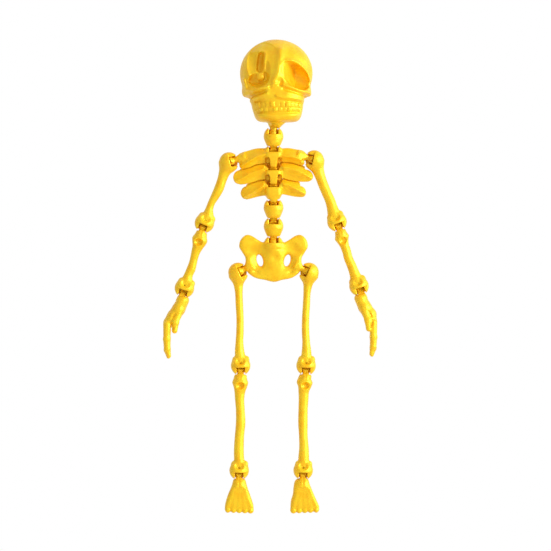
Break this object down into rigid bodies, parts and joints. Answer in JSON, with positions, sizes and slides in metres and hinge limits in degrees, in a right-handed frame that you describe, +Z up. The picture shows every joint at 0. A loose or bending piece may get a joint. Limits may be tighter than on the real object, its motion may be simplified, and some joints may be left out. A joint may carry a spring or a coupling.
{
  "type": "articulated skeleton figure",
  "caption": "Articulated skeleton figure in silk-gold plastic, printed in place: skull, spine, ribs, pelvis and limbs linked by captive ball joints, held at the skull.",
  "frame": {"origin": "just above the crown of the skull, on the line of the spine, where the figure is held and everything hangs below", "axes": "+Z up along the spine, -Y the way the face looks, +X towards the figure's own left hand"},
  "size_m": [0.1093, 0.03, 0.2398],
  "materials": {
    "silk_gold": "silk gold filament with fine print layers"
  },
  "bodies": {
    "skull": {"skull": "silk_gold"},
    "neck": {"neck": "silk_gold"},
    "chest_upper": {"chest_upper": "silk_gold"},
    "chest_middle": {"chest_middle": "silk_gold"},
    "chest_lower": {"chest_lower": "silk_gold"},
    "lumbar_upper": {"lumbar_upper": "silk_gold"},
    "lumbar_lower": {"lumbar_lower": "silk_gold"},
    "pelvis": {"pelvis": "silk_gold"},
    "upper_arm_right": {"upper_arm_right": "silk_gold"},
    "forearm_right": {"forearm_right": "silk_gold"},
    "hand_right": {"hand_right": "silk_gold"},
    "thigh_right": {"thigh_right": "silk_gold"},
    "shin_right": {"shin_right": "silk_gold"},
    "foot_right": {"foot_right": "silk_gold"},
    "upper_arm_left": {"upper_arm_left": "silk_gold"},
    "forearm_left": {"forearm_left": "silk_gold"},
    "hand_left": {"hand_left": "silk_gold"},
    "thigh_left": {"thigh_left": "silk_gold"},
    "shin_left": {"shin_left": "silk_gold"},
    "foot_left": {"foot_left": "silk_gold"}
  },
  "joints": [
    {"name": "head_turn", "type": "hinge", "parent": "skull", "child": "neck", "pos_m": [0, 0, -0.0485], "axis": [0, 0, 1], "continuous": true},
    {"name": "neck_nod", "type": "hinge", "parent": "neck", "child": "chest_upper", "pos_m": [0, 0, -0.0576], "axis": [-1, 0, 0], "range_deg": [-8, 40]},
    {"name": "chest_upper_nod", "type": "hinge", "parent": "chest_upper", "child": "chest_middle", "pos_m": [0, 0, -0.0669], "axis": [-1, 0, 0], "range_deg": [-8, 16]},
    {"name": "chest_lower_nod", "type": "hinge", "parent": "chest_middle", "child": "chest_lower", "pos_m": [0, 0, -0.0755], "axis": [-1, 0, 0], "range_deg": [-8, 16]},
    {"name": "spine_side_bend", "type": "hinge", "parent": "chest_lower", "child": "lumbar_upper", "pos_m": [0, 0, -0.0848], "axis": [0, 1, 0], "range_deg": [-10, 10]},
    {"name": "spine_nod", "type": "hinge", "parent": "lumbar_upper", "child": "lumbar_lower", "pos_m": [0, 0, -0.0944], "axis": [1, 0, 0], "range_deg": [-40, 8]},
    {"name": "waist_turn", "type": "hinge", "parent": "lumbar_lower", "child": "pelvis", "pos_m": [0, 0, -0.1039], "axis": [0, 0, 1], "continuous": true},
    {"name": "shoulder_swing_right", "type": "hinge", "parent": "chest_upper", "child": "upper_arm_right", "pos_m": [-0.0227, 0, -0.0617], "axis": [-0.9511, 0, -0.309], "continuous": true},
    {"name": "elbow_right", "type": "hinge", "parent": "upper_arm_right", "child": "forearm_right", "pos_m": [-0.03523, 0, -0.09287], "axis": [-0.9278, 0, 0.373], "range_deg": [-8, 45]},
    {"name": "wrist_right", "type": "hinge", "parent": "forearm_right", "child": "hand_right", "pos_m": [-0.04544, 0, -0.12604], "axis": [-0.9558, 0, 0.294], "range_deg": [-8, 45]},
    {"name": "hip_swing_right", "type": "hinge", "parent": "pelvis", "child": "thigh_right", "pos_m": [-0.0181, 0, -0.118], "axis": [-0.8829, 0, -0.4695], "range_deg": [-90, 120]},
    {"name": "knee_right", "type": "hinge", "parent": "thigh_right", "child": "shin_right", "pos_m": [-0.01677, 0, -0.16558], "axis": [-0.9996, 0, -0.0279], "range_deg": [-8, 45]},
    {"name": "ankle_right", "type": "hinge", "parent": "shin_right", "child": "foot_right", "pos_m": [-0.01752, 0, -0.21898], "axis": [-0.9999, 0, 0.014], "range_deg": [-8, 45]},
    {"name": "shoulder_swing_left", "type": "hinge", "parent": "chest_upper", "child": "upper_arm_left", "pos_m": [0.0207, 0, -0.0607], "axis": [-0.9511, 0, 0.309], "continuous": true},
    {"name": "elbow_left", "type": "hinge", "parent": "upper_arm_left", "child": "forearm_left", "pos_m": [0.03236, 0, -0.09221], "axis": [-0.9379, 0, -0.3469], "range_deg": [-8, 45]},
    {"name": "wrist_left", "type": "hinge", "parent": "forearm_left", "child": "hand_left", "pos_m": [0.0436, 0, -0.12504], "axis": [-0.9461, 0, -0.3239], "range_deg": [-8, 45]},
    {"name": "hip_swing_left", "type": "hinge", "parent": "pelvis", "child": "thigh_left", "pos_m": [0.0181, 0, -0.118], "axis": [-0.8829, 0, 0.4695], "range_deg": [-90, 120]},
    {"name": "knee_left", "type": "hinge", "parent": "thigh_left", "child": "shin_left", "pos_m": [0.01661, 0, -0.16558], "axis": [-0.9995, 0, 0.0314], "range_deg": [-8, 45]},
    {"name": "ankle_left", "type": "hinge", "parent": "shin_left", "child": "foot_left", "pos_m": [0.01511, 0, -0.21896], "axis": [-0.9996, 0, 0.0279], "range_deg": [-8, 45]}
  ]
}
